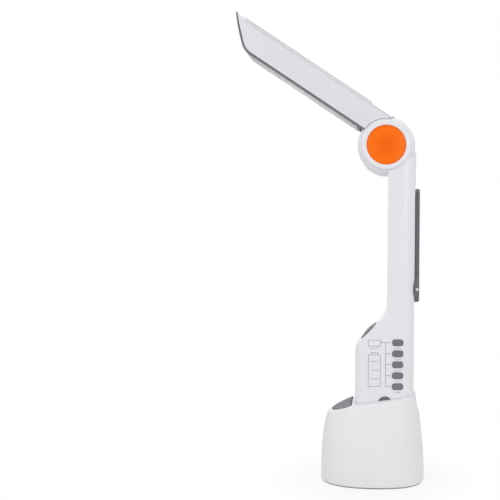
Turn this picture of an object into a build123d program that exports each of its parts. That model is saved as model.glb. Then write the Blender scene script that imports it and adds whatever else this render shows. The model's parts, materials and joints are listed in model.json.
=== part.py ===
from build123d import *
import os
from math import acos, cos, hypot, pi, radians, sin, sqrt, tan

# Solar emergency lamp: a slim body with a folding head and a hand crank, standing in a cradle.
# Sizes are in millimetres. X runs from front to back, Y across the lamp and Z up.
# The origin is the middle of the cradle's underside. The side buttons face -Y.

# Clearances
run_gap = 0.3
seat_gap = 0.05
shaft_gap = 0.05
socket_gap = 0.4

# Cradle
cradle_front = 43.3
cradle_back = 43.3
cradle_half_width = 33.7
cradle_widest_x = 4.0
cradle_height = 73.0
cradle_front_draw = 12.4
cradle_back_draw = 7.2
cradle_side_draw = 7.4
cradle_draw_power = 1.7
cradle_front_draw_power = 3.5
cradle_levels = (0.25, 0.45, 0.6, 0.75, 0.9, 1.08)
plan_points = 16
plan_power_back = 2.5
plan_power_front = 2.2
cradle_wall = 2.5
cradle_rim_round = 2.4
foot_pad_height = 1.2
foot_pad_inset = 0.9
base_plate_thickness = 2.2
socket_floor_z = 12.0
socket_wall = 2.0
top_kink_z = 65.5
front_top_slope = 20.5
rear_top_slope = 8.0
notch_width = 18.3
notch_bottom_z = 57.0
notch_corner = 2.0
front_panel_inset = 3.2
front_panel_level = 58.0
front_panel_end_gap = 2.5
front_panel_thickness = 1.5
front_panel_proud = 0.2
front_panel_corner = 3.0
ballast_length = 52.0
ballast_side_step = 0.75
ballast_height = 5.5
ballast_corner = 4.0
cradle_boss_radius = 3.5
cradle_boss_height = 26.0
cradle_boss_spacing = 32.0

# Body
body_half_width = 18.25
body_front = -15.0
body_back = 33.6
body_wall = 2.0
body_back_corner = 11.0
body_front_corner = 7.0
neck_front_edge = 0.6
slope_start_z = 113.2
slope_angle = 45.6
slope_round = 6.0
neck_round = 15.0
neck_front = 11.0
back_step_z = 246.0
back_step_length = 2.0

# Hinge
hinge_x = 9.3
hinge_z = 279.2
drum_radius = 24.0
drum_edge_round = 6.0
neck_back_step = 1.0
neck_top_drop = 6.0
neck_top_run = 4.5
knuckle_half_width = 6.1
cheek_thickness = 2.0
axle_radius = 3.0
axle_nut_radius = 5.5
axle_nut_height = 3.0
cap_radius = 20.3
cap_height = 2.5
cap_spigot_radius = 16.9
cap_spigot_depth = 4.6
cap_spigot_wall = 1.9
cap_edge = 0.5
cap_outer_edge = 1.2
cap_skirt = 0.8
warning_lens_radius = 16.3
warning_lens_dome = 1.0
warning_lens_proud = 0.2
warning_board_thickness = 1.2
warning_led_size = 3.0
warning_led_height = 1.0
warning_led_circle = 9.0
warning_led_count = 4

# Head
head_elevation = 33.2
head_folded = -88.6
head_side_step = 1.0
head_height = 25.0
head_crown_drop = 3.8
head_wall = 1.8
head_top_round = 1.0
head_slant_round = 16.0
head_root_gap = 0.7
knuckle_side_gap = 0.3
bezel_thickness = 1.5
bezel_width = 2.2
bezel_start = 26.5
lens_proud = 0.8
lens_flange = 0.25
lens_flange_thickness = 0.8
window_start = 28.5
window_start_rise = 2.5
window_end_margin = 15.0
window_end_rise = 7.0
window_side_margin = 3.25
window_corner = 1.0
solar_cover_edge = 1.6
solar_panel_thickness = 1.5
solar_tray_wall = 1.5
led_start = 34.0
led_pitch = 9.0
led_columns = 11
led_row_spacing = 11.0
led_size = 3.0
led_height = 0.8
led_board_thickness = 1.2
led_board_side_gap = 3.65
led_frame_height = 5.7
led_frame_wall = 1.2

# Side buttons
button_x = 20.1
button_top_z = 116.3
button_pitch = 9.05
button_count = 5
button_length = 8.8
button_height = 5.1
button_round = 2.0
button_proud = 1.0
button_flange = 1.0
button_travel = 0.8
button_edge = 0.4
round_button_x = 10.0
round_button_z = 66.2
round_button_radius = 5.7
round_button_sunk = 0.8
hole_gap = 0.2

# Main switch on the slope
pad_length = 18.6
pad_side_margin = 5.75
pad_crown = 1.1
pad_below_bend = 2.2
pad_travel = 1.0

# Switches and boards
tact_size = 4.6
tact_height = 2.4
tact_corner = 0.4
tact_plunger_radius = 1.2
tact_plunger_height = 0.5
tact_rest_gap = 0.1
board_thickness = 1.2
button_board_front = 6.8
button_board_back = 30.4
button_board_bottom = 58.0
button_board_top = 119.5
board_post_radius = 2.0
main_board_front = 8.5
main_board_bottom = 54.0
main_board_top = 94.0
switch_board_length = 14.0

# Ports
usb_a_z = 68.6
usb_a_height = 13.1
usb_a_width = 5.7
usb_a_depth = 14.0
usb_a_shell = 0.3
usb_a_cavity_depth = 9.0
usb_a_tongue = 1.8
usb_a_tongue_height = 11.0
usb_a_tongue_inset = 0.7
micro_usb_z = 84.8
micro_usb_y = -2.6
micro_usb_height = 8.0
micro_usb_width = 3.0
micro_usb_depth = 5.5
micro_usb_shell = 0.25
micro_usb_chamfer = 0.9
micro_usb_floor = 1.0
micro_usb_tongue = 0.7
micro_usb_tongue_height = 5.2
micro_usb_tongue_inset = 0.8

# Battery
battery_radius = 9.2
battery_length = 65.0
battery_end_round = 0.8
battery_terminal_radius = 2.75
battery_terminal_height = 1.2
battery_rib_reach = 7.4
battery_rib_thickness = 2.0
battery_rib_heights = (20.0, 50.0)

# Crank
hub_z = 160.0
hub_radius = 13.2
hub_pocket_x = 31.2
hub_outer_x = 37.7
hub_pocket_gap = 0.4
hub_slot_half_width = 7.65
hub_shaft_radius = 3.0
hub_edge = 1.2
arm_pin_x = 36.0
arm_pin_radius = 1.3
arm_pin_end = 0.8
arm_thickness = 3.6
arm_reach = 84.2
arm_top_width = 11.6
arm_bottom_width = 14.4
arm_top_rise = 3.4
arm_top_corner = 1.6
arm_bevel = 0.6
arm_slot_floor_gap = 0.4

# Fold-out finger tab of the crank
tab_length = 8.8
tab_width = 7.6
tab_thickness = 1.8
tab_pin_radius = 0.6
tab_pin_seat = 1.2
tab_round = 0.7
tab_pin_drop = 4.3
tab_gap = 0.2

# Finger recess in the back of the neck
recess_z = 236.0
recess_width = 20.6
recess_height = 13.2
recess_floor_x = 22.0
recess_liner_wall = 0.6
recess_liner_floor = 1.0

# Dynamo and its gears
gear_module = 0.6
drive_teeth = 40
pinion_teeth = 12
gear_pressure_angle = 20.0
gear_addendum = 0.75
gear_dedendum = 1.1
gear_backlash = 0.12
gear_thickness = 3.5
gear_plate_x = 18.0
gear_plate_thickness = 1.5
gear_plate_margin = 13.0
gear_wall = 1.8
rotor_radius = 7.0
rotor_length = 4.0
rotor_shaft_radius = 1.0
stator_gap = 0.6
stator_wall = 1.6

# Screws that join the body halves, by place in the XZ plane
screw_places = ((24.0, 30.0), (-5.0, 92.0), (26.0, hub_z - 28.0), (22.0, hub_z + 45.0),
                (27.0, back_step_z + 5.5))
screw_boss_radius = 3.4
screw_head_radius = 2.4
screw_head_height = 1.6
screw_shank_radius = 1.2
screw_head_depth = 10.25
screw_reach = 10.0

# Values that follow from the sizes above
body_bottom = socket_floor_z + run_gap
slope_rise = tan(radians(slope_angle))
neck_back = hinge_x + drum_radius + neck_back_step
inner_half_width = body_half_width - body_wall
screw_head_y = body_half_width - screw_head_depth
head_half_width = body_half_width - head_side_step
window_half_width = head_half_width - window_side_margin
led_board_half_width = head_half_width - led_board_side_gap
pad_width = 2 * (body_half_width - pad_side_margin)
ballast_width = 2 * (body_half_width - ballast_side_step)
foot_z = foot_pad_height
gear_distance = gear_module * (drive_teeth + pinion_teeth) / 2
rotor_z = hub_z + gear_distance
head_slant_gap = pad_crown + lens_proud + run_gap
gear_wall_x = hub_pocket_x - gear_wall
far = 200.0


def slab_y(face, y_low, y_high):
    """A face drawn in X and Z, made solid between two places across the lamp."""
    return Pos(0, y_high, 0) * extrude(Plane.XZ * face, y_high - y_low)


def slab_x(face, x_low, x_high):
    """A face drawn in Y and Z, made solid between two places along X."""
    return Pos(x_low, 0, 0) * extrude(Plane.YZ * face, x_high - x_low)


def slab_z(face, z_low, z_high):
    """A face drawn in X and Y, made solid between two heights."""
    return Pos(0, 0, z_low) * extrude(face, z_high - z_low)


def box(x_low, x_high, y_low, y_high, z_low, z_high):
    """A box given by its two ends along each axis."""
    size = (x_high - x_low, y_high - y_low, z_high - z_low)
    middle = ((x_low + x_high) / 2, (y_low + y_high) / 2, (z_low + z_high) / 2)
    return Pos(*middle) * Box(*size)


def rod_y(radius, x, z, y_low, y_high):
    """A round bar across the lamp."""
    return slab_y(Pos(x, z) * Circle(radius), y_low, y_high)


def rod_x(radius, y, z, x_low, x_high):
    """A round bar along X."""
    return slab_x(Pos(y, z) * Circle(radius), x_low, x_high)


def rod_z(radius, x, y, z_low, z_high):
    """A round bar along Z."""
    return slab_z(Pos(x, y) * Circle(radius), z_low, z_high)


def mirror_pair(solid):
    """The solid and its mirror image on the other side of the lamp."""
    return [solid, mirror(solid, Plane.XZ)]


def superellipse(front, back, half_width, widest_x):
    """An egg-shaped outline, fuller towards the back."""
    points = []
    for step in range(plan_points):
        turn = 2 * pi * step / plan_points
        along, across = cos(turn), sin(turn)
        power = 2 / (plan_power_back if along > 0 else plan_power_front)
        length = back - widest_x if along > 0 else front + widest_x
        x = widest_x + length * (1 if along > 0 else -1) * abs(along) ** power
        y = half_width * (1 if across > 0 else -1) * abs(across) ** power
        points.append((x, y))
    return Spline(*points, periodic=True)


def cradle_plan(height, inset):
    """The cradle's outline at one height, drawn in by an inset."""
    share = height / cradle_height
    front = cradle_front - cradle_front_draw * share ** cradle_front_draw_power - inset
    back = cradle_back - cradle_back_draw * share ** cradle_draw_power - inset
    half_width = cradle_half_width - cradle_side_draw * share ** cradle_draw_power - inset
    return make_face(superellipse(front, back, half_width, cradle_widest_x))


def cradle_form(inset, bottom):
    """The cradle's outer form without its top, drawn in by an inset."""
    levels = [bottom] + [cradle_height * share for share in cradle_levels]
    return loft([Pos(0, 0, level) * cradle_plan(level, inset) for level in levels])


def above_cradle_top(drop):
    """Everything above the cradle's sloping top, lowered by a drop."""
    front_fall = tan(radians(front_top_slope)) * (far + body_front)
    rear_rise = tan(radians(rear_top_slope)) * (far - body_front)
    kink = (body_front, top_kink_z - drop)
    front = (-far, kink[1] - front_fall)
    rear = (far, kink[1] + rear_rise)
    outline = Polyline(front, kink, rear, (far, far), (-far, far), close=True)
    return slab_y(make_face(outline), -far, far)


def body_plan(grow):
    """The body's outline seen from above, grown or shrunk on every side."""
    length = neck_back - body_front
    outline = Rectangle(length + 2 * grow, 2 * (body_half_width + grow))
    outline = Pos((neck_back + body_front) / 2, 0) * outline
    ends = outline.vertices().sort_by(Axis.X)
    outline = fillet(ends[-2:], body_back_corner + grow)
    ends = outline.vertices().sort_by(Axis.X)
    return fillet(ends[:2], body_front_corner + grow)


def socket_form(grow, bottom):
    """The space the body takes up in the cradle, grown on every side."""
    column = slab_z(body_plan(grow), bottom, far)
    return column & box(-far, body_back + grow, -far, far, bottom, far)


def front_panel_form(grow, low, high):
    """The pad on the cradle's front slope, between two depths under the slope."""
    plan = slab_z(cradle_plan(front_panel_level, front_panel_inset - grow), 0, far)
    end = body_front - front_panel_end_gap + grow
    corner = front_panel_corner
    half = cradle_half_width
    plan &= box(-far, end, -half, half, 0, far)
    upright = [edge for edge in plan.edges() if edge.bounding_box().size.Z > far / 2]
    plan = fillet(ShapeList(upright).sort_by(Axis.X)[-2:], corner)
    return plan & (above_cradle_top(high) - above_cradle_top(low))


def notch_form(grow, x_low):
    """The gap in the cradle's back rim, which leaves the port free."""
    half = notch_width / 2 + grow
    bottom = notch_bottom_z - grow
    outline = Pos(0, (bottom + far) / 2) * Rectangle(2 * half, far - bottom)
    corners = outline.vertices().sort_by(Axis.Y)[:2]
    return slab_x(fillet(corners, notch_corner + grow), x_low, far)


def cradle_boss_places():
    """Middles of the four screw bosses beside the socket."""
    across = body_half_width + socket_gap + socket_wall + cradle_boss_radius / 2
    middle = (body_front + body_back) / 2
    half = cradle_boss_spacing / 2
    return [(middle + x, y) for x in (-half, half) for y in (-across, across)]


def make_cradle_shell():
    """One moulded shell: outer wall, sloping top and the socket for the body."""
    outer = cradle_form(0, foot_z) - above_cradle_top(0)
    rim = []
    for edge in outer.edges():
        middle = edge.position_at(0.5)
        if middle.Z > top_kink_z / 2 and abs(middle.Y) > 0.5 or abs(middle.X) > cradle_front * 0.7:
            if middle.Z > foot_z + 1:
                rim.append(edge)
    outer = fillet(rim, cradle_rim_round)
    hollow = cradle_form(cradle_wall, foot_z) - above_cradle_top(cradle_wall)
    grown = socket_gap + socket_wall
    hollow -= socket_form(grown, socket_floor_z - socket_wall)
    hollow -= notch_form(socket_wall, body_back - body_back_corner)
    hollow -= front_panel_form(1.0, -1.0, front_panel_thickness + 1.0)
    for x, y in cradle_boss_places():
        plate_top = foot_z + base_plate_thickness
        hollow -= rod_z(cradle_boss_radius, x, y, plate_top, plate_top + cradle_boss_height)
    shell = outer - hollow - socket_form(socket_gap, socket_floor_z)
    shell -= notch_form(0, body_back)
    shell -= front_panel_form(seat_gap, -1.0, front_panel_thickness + seat_gap)
    for x, y in cradle_boss_places():
        shell -= rod_z(screw_shank_radius, x, y, foot_z, foot_z + cradle_boss_height)
    return shell


def make_cradle_base_plate():
    """The plate that closes the cradle from below."""
    plate = slab_z(cradle_plan(0, cradle_wall + run_gap), foot_z, foot_z + base_plate_thickness)
    for x, y in cradle_boss_places():
        plate -= rod_z(screw_shank_radius + seat_gap, x, y, 0, far)
        plate -= rod_z(screw_head_radius + hole_gap, x, y, 0, foot_z + screw_head_height)
    return plate


def make_cradle_foot_pad():
    """The thin rubber sheet that the cradle stands on."""
    return slab_z(cradle_plan(0, foot_pad_inset), 0, foot_z)


def make_cradle_ballast():
    """A steel weight on the base plate, under the socket."""
    low = foot_z + base_plate_thickness
    half_length, half_width = ballast_length / 2, ballast_width / 2
    weight = box(-half_length, half_length, -half_width, half_width, low, low + ballast_height)
    return fillet(weight.edges().filter_by(Axis.Z), ballast_corner)


def make_cradle_screws():
    """Four screws from below, which hold the base plate to the shell."""
    screws = []
    for x, y in cradle_boss_places():
        head = rod_z(screw_head_radius, x, y, foot_z, foot_z + screw_head_height)
        screws.append(head + rod_z(screw_shank_radius, x, y, foot_z, foot_z + cradle_boss_height / 2))
    return screws


def slope_z(x):
    """Height of the body's front slope over a place along X."""
    return slope_start_z + (x - body_front) * slope_rise


def body_side_face(inset):
    """The body's side outline without the hinge drum, drawn in by an inset."""
    step_top = back_step_z + back_step_length
    outline = Polyline(
        (body_front, body_bottom), (body_front, slope_start_z),
        (neck_front, slope_z(neck_front)), (neck_front, hinge_z),
        (neck_back - neck_top_run, hinge_z), (neck_back, hinge_z - neck_top_drop),
        (neck_back, step_top),
        (body_back, back_step_z), (body_back, body_bottom), close=True)
    face = make_face(outline)
    bend = face.vertices().sort_by_distance((neck_front, slope_z(neck_front), 0))[0]
    face = fillet(bend, neck_round)
    corner = face.vertices().sort_by_distance((body_front, slope_start_z, 0))[0]
    face = fillet(corner, slope_round)
    if inset:
        face = offset(face, -inset)
    return face


def drum(radius, half_width):
    """A cylinder on the hinge axis, as wide on each side of the middle."""
    return rod_y(radius, hinge_x, hinge_z, -half_width, half_width)


def round_bar(radius, half_width, edge_round):
    """A bar along Y about the origin with rounded ends."""
    bar = Rot(90, 0, 0) * Cylinder(radius, 2 * half_width)
    return fillet(bar.edges().filter_by(GeomType.CIRCLE), edge_round)


def round_drum(grow):
    """The hinge drum with its rounded ends, grown or shrunk on every side."""
    bar = round_bar(drum_radius + grow, body_half_width + grow, drum_edge_round + grow)
    return Pos(hinge_x, 0, hinge_z) * bar


def body_form(inset):
    """The body's outer form, or its cavity when drawn in by a wall."""
    half = body_half_width - inset
    column = slab_y(body_side_face(inset), -half, half)
    column &= slab_z(body_plan(-inset), body_bottom, hinge_z)
    if not inset:
        near_front = [edge for edge in column.edges().filter_by(Axis.Z)
                      if abs(edge.center().X - neck_front) < seat_gap]
        column = fillet(near_front, neck_front_edge)
    return column + round_drum(-inset)


def pad_plane():
    """The middle of the main switch on the slope, with Z pointing outwards."""
    middle_x = (body_front + neck_front) / 2 - pad_below_bend
    along = Vector(cos(radians(slope_angle)), 0, sin(radians(slope_angle)))
    outwards = Vector(-sin(radians(slope_angle)), 0, cos(radians(slope_angle)))
    return Plane(origin=(middle_x, 0, slope_z(middle_x)), x_dir=along, z_dir=outwards)


def pad_prism(grow, low, high):
    """An oval block at the main switch, between two heights over the slope."""
    oval = Ellipse(pad_length / 2 + grow, pad_width / 2 + grow)
    return pad_plane() * Pos(0, 0, low) * extrude(oval, high - low)


def button_places():
    """Middles of the side buttons, from the top one down."""
    return [(button_x, button_top_z - button_pitch * row) for row in range(button_count)]


def button_face(x, z, grow):
    """One side button's rounded outline."""
    outline = RectangleRounded(button_length + 2 * grow, button_height + 2 * grow, button_round + grow)
    return Pos(x, z) * outline


def recess_face(grow):
    """The oval outline of the finger recess."""
    return Pos(0, recess_z) * Ellipse(recess_width / 2 + grow, recess_height / 2 + grow)


def usb_a_face(grow):
    """The outline of the larger port, standing on its narrow side."""
    return Pos(0, usb_a_z) * Rectangle(usb_a_width + 2 * grow, usb_a_height + 2 * grow)


def micro_usb_face(grow):
    """The outline of the charging port, with its two chamfered corners."""
    outline = Rectangle(micro_usb_width + 2 * grow, micro_usb_height + 2 * grow)
    corners = outline.vertices().sort_by(Axis.X)[:2]
    return Pos(micro_usb_y, micro_usb_z) * chamfer(corners, micro_usb_chamfer)


def make_body_shell():
    """Both halves of the body's shell together, without bosses and ribs."""
    outer = body_form(0)
    shell = outer - body_form(body_wall)
    slot_radius = drum_radius + run_gap
    cheek_y = knuckle_half_width + cheek_thickness
    shell += outer & drum(slot_radius + body_wall, cheek_y)
    shell += outer & rod_x(hub_radius + hub_pocket_gap + gear_wall, 0, hub_z, gear_wall_x, far)
    shell += outer & rod_x(rotor_shaft_radius + gear_wall, 0, rotor_z, gear_wall_x, far)
    shell -= drum(slot_radius, knuckle_half_width)
    shell -= drum(axle_radius + seat_gap / 2, cheek_y + 1)
    shell -= drum(cap_spigot_radius + seat_gap, far) - drum(far / 2, inner_half_width - 1)
    shell -= rod_x(hub_radius + hub_pocket_gap, 0, hub_z, hub_pocket_x, far)
    shell -= rod_x(hub_shaft_radius + shaft_gap, 0, hub_z, gear_wall_x - 1, hub_pocket_x + 1)
    shell -= rod_x(rotor_shaft_radius + shaft_gap, 0, rotor_z, gear_wall_x - 1, hub_pocket_x)
    shell -= slab_x(recess_face(seat_gap), recess_floor_x, far)
    shell -= slab_x(usb_a_face(seat_gap), body_back - 2 * body_wall, far)
    shell -= slab_x(micro_usb_face(seat_gap), body_back - 2 * body_wall, far)
    shell -= pad_prism(hole_gap, -body_wall - 1, far)
    for x, z in button_places():
        shell -= slab_y(button_face(x, z, hole_gap), -far, -inner_half_width + 1)
    shell -= rod_y(round_button_radius + hole_gap, round_button_x, round_button_z,
                   -far, -inner_half_width + 1)
    return shell


def battery_middle():
    """Where the upright cell stands, close to the body's front wall."""
    return body_front + body_wall + battery_radius + 5 * seat_gap, 0


def battery_ribs():
    """Two ribs that hold the cell upright in the body."""
    x, y = battery_middle()
    cavity = body_form(body_wall - seat_gap)
    ribs = Part()
    for height in battery_rib_heights:
        plate = box(-far, x + battery_rib_reach, -far, far, height, height + battery_rib_thickness)
        ribs += cavity & plate
    return ribs - rod_z(battery_radius + seat_gap, x, y, 0, far)


def screw_bosses():
    """The bosses that take the screws between the two halves."""
    bosses = Part()
    for x, z in screw_places:
        bosses += rod_y(screw_boss_radius, x, z, -inner_half_width - 1, inner_half_width + 1)
    return bosses & body_form(body_wall / 2)


def board_seat_y():
    """Inner and outer faces of the button board."""
    flange_in = -inner_half_width + run_gap + button_flange + button_travel
    switch_top = flange_in + tact_rest_gap
    outer = switch_top + tact_plunger_height + tact_height
    return outer, outer + board_thickness


def board_posts():
    """Two posts on the side wall, which carry the button board."""
    seat = board_seat_y()[0]
    inset = 2 * board_post_radius
    low = (button_board_back - inset, button_board_bottom + inset)
    high = (button_board_front + inset, button_board_top - inset)
    posts = Part()
    for x, z in (low, high):
        posts += rod_y(board_post_radius, x, z, -inner_half_width - 1, seat)
    return posts


def make_body_halves():
    """The body's shell, split down the middle of its back into two halves."""
    shell = make_body_shell()
    shell += screw_bosses()
    shell += battery_ribs()
    left = shell & box(-far, far, 0, far, 0, 2 * far)
    right = (shell & box(-far, far, -far, 0, 0, 2 * far)) + board_posts()
    for x, z in screw_places:
        left -= rod_y(screw_shank_radius + hole_gap, x, z, -1, far)
        left -= rod_y(screw_head_radius + hole_gap, x, z, screw_head_y, far)
        right -= rod_y(screw_shank_radius, x, z, -screw_reach - 1, 1)
    return left, right


def make_body_screws():
    """Screws from the left side, through one half and into the other."""
    screws = []
    for x, z in screw_places:
        head = rod_y(screw_head_radius, x, z, screw_head_y, screw_head_y + screw_head_height)
        screws.append(head + rod_y(screw_shank_radius, x, z, -screw_reach, screw_head_y))
    return screws


def make_button(x, z):
    """One rubber button with the flange that keeps it in its hole."""
    outer_y = -body_half_width - button_proud
    flange_y = -inner_half_width + run_gap
    cap = slab_y(button_face(x, z, 0), outer_y, flange_y)
    cap = fillet(cap.faces().sort_by(Axis.Y)[0].edges(), button_edge)
    flange = slab_y(button_face(x, z, button_flange), flange_y, flange_y + button_flange)
    return cap + flange


def make_round_button():
    """The sunk round button, half covered by the cradle's rim."""
    flange_y = -inner_half_width + run_gap
    outer_y = -body_half_width + round_button_sunk
    cap = rod_y(round_button_radius, round_button_x, round_button_z, outer_y, flange_y)
    cap = fillet(cap.faces().sort_by(Axis.Y)[0].edges(), button_edge)
    flange = rod_y(round_button_radius + button_flange, round_button_x, round_button_z,
                   flange_y, flange_y + button_flange)
    return cap + flange


def make_main_switch_pad():
    """The oval push pad on the slope, slightly crowned, with its flange."""
    crown_radius = (pad_length ** 2 / 4 + pad_crown ** 2) / (2 * pad_crown)
    pad = pad_prism(0, -body_wall - run_gap, pad_crown)
    crown = pad_plane() * Pos(0, 0, pad_crown - crown_radius) * Rot(90, 0, 0)
    pad &= crown * Cylinder(crown_radius, pad_width * 2)
    return pad + pad_prism(button_flange, -body_wall - run_gap - button_flange, -body_wall - run_gap)


def tact_switch():
    """A small push switch that stands on its board, plunger up."""
    body = slab_z(Rectangle(tact_size, tact_size), 0, tact_height)
    body = chamfer(body.edges().filter_by(Axis.Z), tact_corner)
    return body + rod_z(tact_plunger_radius, 0, 0, tact_height, tact_height + tact_plunger_height)


def switch_board_top():
    """Height of the slope's switch board over the slope, which is below zero."""
    flange_low = -body_wall - run_gap - button_flange - pad_travel
    return flange_low - tact_rest_gap - tact_plunger_height - tact_height


def make_tact_switches():
    """The switches behind the side buttons, the round button and the slope's pad."""
    seat = board_seat_y()[0]
    places = button_places() + [(round_button_x, round_button_z)]
    switches = [Pos(x, seat, z) * Rot(90, 0, 0) * tact_switch() for x, z in places]
    switches.append(pad_plane() * Pos(0, 0, switch_board_top()) * tact_switch())
    return switches


def make_button_board():
    """The board behind the side buttons."""
    outer, inner = board_seat_y()
    return box(button_board_front, button_board_back, outer, inner,
               button_board_bottom, button_board_top)


def make_switch_board():
    """The board under the slope's pad, held between the two side walls."""
    top = switch_board_top()
    width = 2 * (inner_half_width - seat_gap)
    plate = Pos(0, 0, top - board_thickness) * extrude(
        Rectangle(switch_board_length, width), board_thickness)
    return pad_plane() * plate


def main_board_y():
    """The two faces of the main board, which carries both ports."""
    outer = micro_usb_y - micro_usb_width / 2
    return outer - board_thickness, outer


def make_main_board():
    """The upright board with the charging circuit and the ports."""
    low, high = main_board_y()
    back = body_back - body_wall - run_gap
    return box(main_board_front, back, low, high, main_board_bottom, main_board_top)


def make_usb_a_socket():
    """The power output port, with its tongue, on the main board."""
    outer_x = body_back - run_gap
    inner_x = outer_x - usb_a_depth
    socket = slab_x(usb_a_face(0), inner_x, outer_x)
    foot = box(inner_x, outer_x - body_wall - 2 * run_gap, main_board_y()[1], 0,
               usb_a_z - usb_a_height / 2, usb_a_z + usb_a_height / 2)
    socket += foot
    mouth_x = outer_x - usb_a_cavity_depth
    socket -= slab_x(usb_a_face(-usb_a_shell), mouth_x, far)
    tongue_outer = usb_a_width / 2 - usb_a_tongue_inset
    half = usb_a_tongue_height / 2
    tongue = box(mouth_x - 1, outer_x - run_gap, tongue_outer - usb_a_tongue, tongue_outer,
                 usb_a_z - half, usb_a_z + half)
    return [socket - tongue, tongue]


def make_micro_usb_socket():
    """The charging port, on the main board."""
    outer_x = body_back - run_gap
    socket = slab_x(micro_usb_face(0), outer_x - micro_usb_depth, outer_x)
    mouth_x = outer_x - micro_usb_depth + micro_usb_floor
    socket -= slab_x(micro_usb_face(-micro_usb_shell), mouth_x, far)
    half = micro_usb_tongue_height / 2
    tongue = box(mouth_x - seat_gap, outer_x - micro_usb_tongue_inset,
                 micro_usb_y, micro_usb_y + micro_usb_tongue, micro_usb_z - half, micro_usb_z + half)
    return socket + tongue


def make_battery():
    """The rechargeable cell, upright, with its raised end."""
    x, y = battery_middle()
    low = body_bottom + body_wall + seat_gap
    cell = rod_z(battery_radius, x, y, low, low + battery_length)
    cell = fillet(cell.edges(), battery_end_round)
    top = low + battery_length + battery_terminal_height
    return cell + rod_z(battery_terminal_radius, x, y, low, top)


def make_hinge_axle():
    """The axle across the hinge."""
    reach = knuckle_half_width + cheek_thickness + axle_nut_height
    return drum(axle_radius, reach)


def make_hinge_nuts():
    """The nuts that clamp the hinge, one inside each outer knuckle."""
    low = knuckle_half_width + cheek_thickness
    hexagon = Pos(hinge_x, hinge_z) * RegularPolygon(axle_nut_radius, 6)
    nut = slab_y(hexagon, low, low + axle_nut_height)
    nut -= drum(axle_radius + seat_gap / 2, far)
    return mirror_pair(nut)


def ring_y(outer, inner, y_low, y_high):
    """A ring on the hinge axis between two places on the left side."""
    ring = rod_y(outer, hinge_x, hinge_z, y_low, y_high)
    return ring - rod_y(inner, hinge_x, hinge_z, y_low - 1, y_high + 1)


def make_hinge_cap():
    """The white ring at the hinge's end, with a spigot that sits in the knuckle."""
    outer_y = body_half_width + cap_height
    inner = cap_spigot_radius - cap_spigot_wall
    foot_y = body_half_width - cap_skirt
    flange = ring_y(cap_radius, warning_lens_radius + seat_gap, foot_y, outer_y)
    rims = flange.faces().sort_by(Axis.Y)[-1].edges().sort_by(SortBy.RADIUS)
    flange = fillet(rims[-1], cap_outer_edge)
    rims = flange.faces().sort_by(Axis.Y)[-1].edges().sort_by(SortBy.RADIUS)
    flange = fillet(rims[0], cap_edge)
    flange -= body_form(0)
    flange += ring_y(cap_spigot_radius, inner, body_half_width - cap_spigot_depth, body_half_width)
    return flange


def make_warning_lens():
    """The orange lens in the hinge cap, with a low dome."""
    outer_y = body_half_width + cap_height + warning_lens_proud
    dome = warning_lens_dome
    radius = (warning_lens_radius ** 2 + dome ** 2) / (2 * dome)
    lens = rod_y(warning_lens_radius, hinge_x, hinge_z, body_half_width, outer_y)
    return lens & Pos(hinge_x, outer_y - radius, hinge_z) * Sphere(radius)


def warning_board_y():
    """The two faces of the warning light's board, inside the cap's spigot."""
    low = body_half_width - cap_spigot_depth
    return low, low + warning_board_thickness


def make_warning_board():
    """The round board of one warning light."""
    low, high = warning_board_y()
    return rod_y(cap_spigot_radius - cap_spigot_wall - seat_gap, hinge_x, hinge_z, low, high)


def make_warning_leds():
    """The lights on one warning board."""
    seat = warning_board_y()[1]
    lights = []
    half = warning_led_size / 2
    for number in range(warning_led_count):
        turn = 2 * pi * number / warning_led_count + pi / 4
        x = hinge_x + warning_led_circle * cos(turn)
        z = hinge_z + warning_led_circle * sin(turn)
        lights.append(box(x - half, x + half, seat, seat + warning_led_height, z - half, z + half))
    return lights


def in_head(x, z, elevation):
    """A point of the body as the head sees it: along the head, and up from its underside."""
    turn = radians(elevation)
    dx, dz = x - hinge_x, z - hinge_z
    return -dx * cos(turn) + dz * sin(turn), dx * sin(turn) + dz * cos(turn)


def head_place(solid):
    """Puts a piece drawn along the head at its place in the lamp."""
    return Pos(hinge_x, 0, hinge_z) * Rot(0, head_elevation, 0) * solid


def slant_line():
    """Two points of the head's slanted end, which lies over the body's slope when folded."""
    shift_x = -head_slant_gap * sin(radians(slope_angle))
    shift_z = head_slant_gap * cos(radians(slope_angle))
    low_x, high_x = neck_front, body_front
    low = in_head(low_x + shift_x, slope_z(low_x) + shift_z, head_folded)
    high = in_head(high_x + shift_x, slope_z(high_x) + shift_z, head_folded)
    return low, high


def slant_at(rise, depth):
    """How far along the head its slanted end is at a height, drawn in by a depth."""
    (low_u, low_v), (high_u, high_v) = slant_line()
    pitch = (high_u - low_u) / (high_v - low_v)
    return low_u + (rise - low_v) * pitch - depth * hypot(1, pitch)


head_tip = slant_at(head_height, 0)
nose_middle = head_tip - head_half_width
window_end = head_tip - window_end_margin


def head_side_face(depth):
    """The head's side outline above its underside, drawn in by a depth."""
    corner = (-slant_at(depth, depth), depth)
    top = 2 * head_height
    outline = Polyline((0, depth), corner, (-slant_at(top, depth), top), (0, top), close=True)
    face = make_face(outline)
    bend = face.vertices().sort_by_distance((corner[0], corner[1], 0))[0]
    return fillet(bend, head_slant_round - depth)


def head_plan_face(inset):
    """The head's outline from above: straight sides and a round nose."""
    half = head_half_width - inset
    body = Pos(-nose_middle / 2, 0) * Rectangle(nose_middle, 2 * half)
    return body + Pos(-nose_middle, 0) * Circle(half)


def crown(drop):
    """The long round form of the head's top, lowered by a drop."""
    sag = head_crown_drop
    radius = (head_half_width ** 2 + sag ** 2) / (2 * sag)
    length = 2 * head_tip
    bar = Rot(0, 90, 0) * Cylinder(radius - drop, length)
    return Pos(-head_tip / 2, 0, head_height - radius) * bar


def head_root_form(inset):
    """The space that the head leaves round the hinge drum."""
    grow = head_root_gap + inset
    return round_bar(drum_radius + grow, body_half_width + grow, drum_edge_round + grow)


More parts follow.
